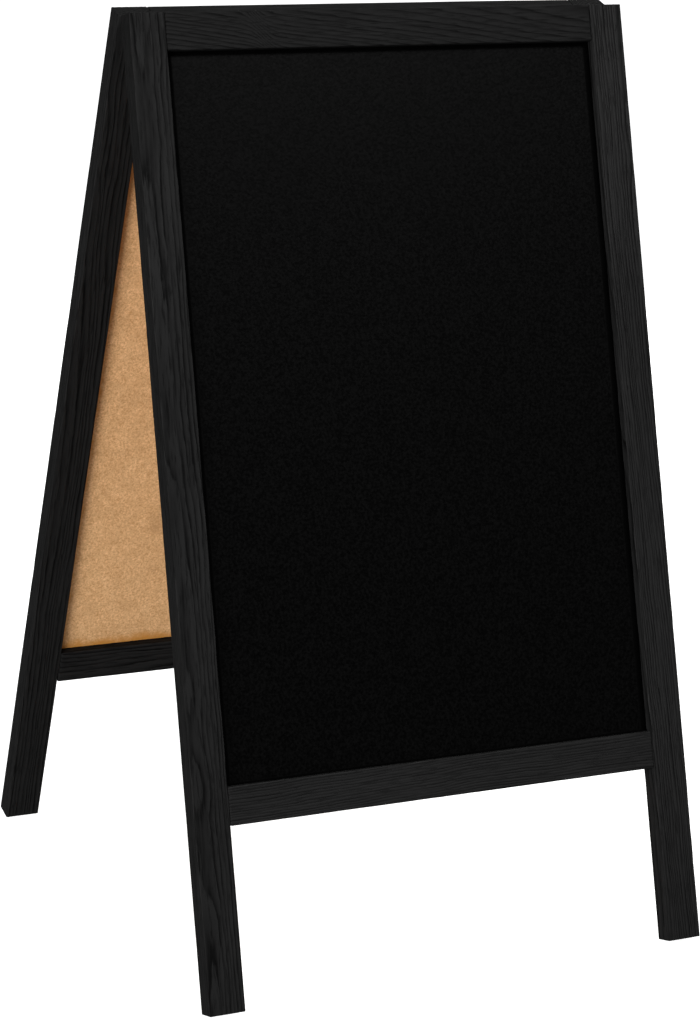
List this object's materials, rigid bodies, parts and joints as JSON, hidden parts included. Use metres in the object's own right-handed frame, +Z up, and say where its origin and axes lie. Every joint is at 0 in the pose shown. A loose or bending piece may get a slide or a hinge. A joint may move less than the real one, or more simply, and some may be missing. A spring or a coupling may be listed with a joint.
{
  "type": "sandwich board",
  "caption": "Free-standing A-frame chalkboard: framed writing panels on square-cut legs, hinged together at the top so that the leaves fold flat.",
  "frame": {"origin": "on the floor, midway between the two leaves and midway across their width, with the board standing open", "axes": "+Z up; +X to the right for someone facing the front leaf; the front leaf faces -Y and the rear leaf faces +Y"},
  "size_m": [0.57, 0.605, 0.9664],
  "materials": {
    "stained_pine": "brushed softwood with raised grain, stained black, satin to matt",
    "writing_panel": "hardboard, matt black chalkboard coating on the writing side and bare brown on the inner side",
    "beech": "plain turned beech",
    "hinge_steel": "zinc-plated pressed steel, satin",
    "screw_steel": "zinc-plated steel, bright"
  },
  "bodies": {
    "front_leaf": {"front_top_rail": "stained_pine", "front_bottom_rail": "stained_pine", "front_left_stile": "stained_pine", "front_right_stile": "stained_pine", "front_writing_panel": "writing_panel", "front_left_top_dowel_1": "beech", "front_left_top_dowel_2": "beech", "front_left_bottom_dowel_1": "beech", "front_left_bottom_dowel_2": "beech", "front_right_top_dowel_1": "beech", "front_right_top_dowel_2": "beech", "front_right_bottom_dowel_1": "beech", "front_right_bottom_dowel_2": "beech", "left_hinge_front_plate": "hinge_steel", "left_hinge_pin": "hinge_steel", "left_hinge_front_screw_1": "screw_steel", "left_hinge_front_screw_2": "screw_steel", "left_hinge_front_screw_3": "screw_steel", "right_hinge_front_plate": "hinge_steel", "right_hinge_pin": "hinge_steel", "right_hinge_front_screw_1": "screw_steel", "right_hinge_front_screw_2": "screw_steel", "right_hinge_front_screw_3": "screw_steel"},
    "rear_leaf": {"rear_top_rail": "stained_pine", "rear_bottom_rail": "stained_pine", "rear_left_stile": "stained_pine", "rear_right_stile": "stained_pine", "rear_writing_panel": "writing_panel", "rear_left_top_dowel_1": "beech", "rear_left_top_dowel_2": "beech", "rear_left_bottom_dowel_1": "beech", "rear_left_bottom_dowel_2": "beech", "rear_right_top_dowel_1": "beech", "rear_right_top_dowel_2": "beech", "rear_right_bottom_dowel_1": "beech", "rear_right_bottom_dowel_2": "beech", "left_hinge_rear_plate": "hinge_steel", "left_hinge_rear_screw_1": "screw_steel", "left_hinge_rear_screw_2": "screw_steel", "left_hinge_rear_screw_3": "screw_steel", "right_hinge_rear_plate": "hinge_steel", "right_hinge_rear_screw_1": "screw_steel", "right_hinge_rear_screw_2": "screw_steel", "right_hinge_rear_screw_3": "screw_steel"}
  },
  "joints": [
    {"name": "fold", "type": "hinge", "parent": "front_leaf", "child": "rear_leaf", "pos_m": [0, 0, 0.95545], "axis": [-1, 0, 0], "range_deg": [0, 32.4]}
  ]
}
